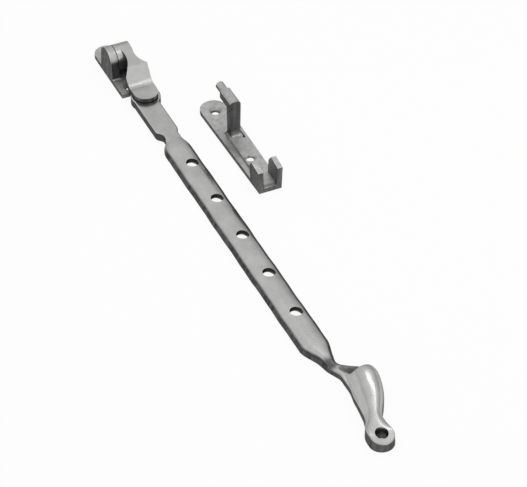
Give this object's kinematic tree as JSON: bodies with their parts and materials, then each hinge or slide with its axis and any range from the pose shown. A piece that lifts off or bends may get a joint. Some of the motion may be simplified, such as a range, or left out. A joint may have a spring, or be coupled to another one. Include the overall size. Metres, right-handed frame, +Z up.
{
  "type": "casement stay",
  "caption": "Casement stay: a flat peg arm with a row of peg holes and a bulb handle, hinged on a knuckle and screw plate, with a forked peg keeper.",
  "frame": {"origin": "on the mounting face of the bracket, under the hinge pin, on the line of the peg holes", "axes": "+X along the arm from the hinge pin to the tip eye, +Y towards the keeper and the bulb, +Z up from the mounting face"},
  "size_m": [0.3258, 0.0446, 0.0236],
  "materials": {
    "plated_metal": "polished plate over a casting"
  },
  "bodies": {
    "base": {"bracket": "plated_metal", "hinge_pin": "plated_metal", "keeper": "plated_metal"},
    "link": {"swivel_link": "plated_metal"},
    "arm": {"stay_arm": "plated_metal"}
  },
  "joints": [
    {"name": "arm_swing", "type": "hinge", "parent": "base", "child": "link", "pos_m": [0, 0, 0.00995], "axis": [0, -1, 0], "range_deg": [0, 170]},
    {"name": "arm_lift", "type": "hinge", "parent": "link", "child": "arm", "pos_m": [0.02885, 0, 0], "axis": [0, 0, 1], "range_deg": [-90, 8]}
  ]
}
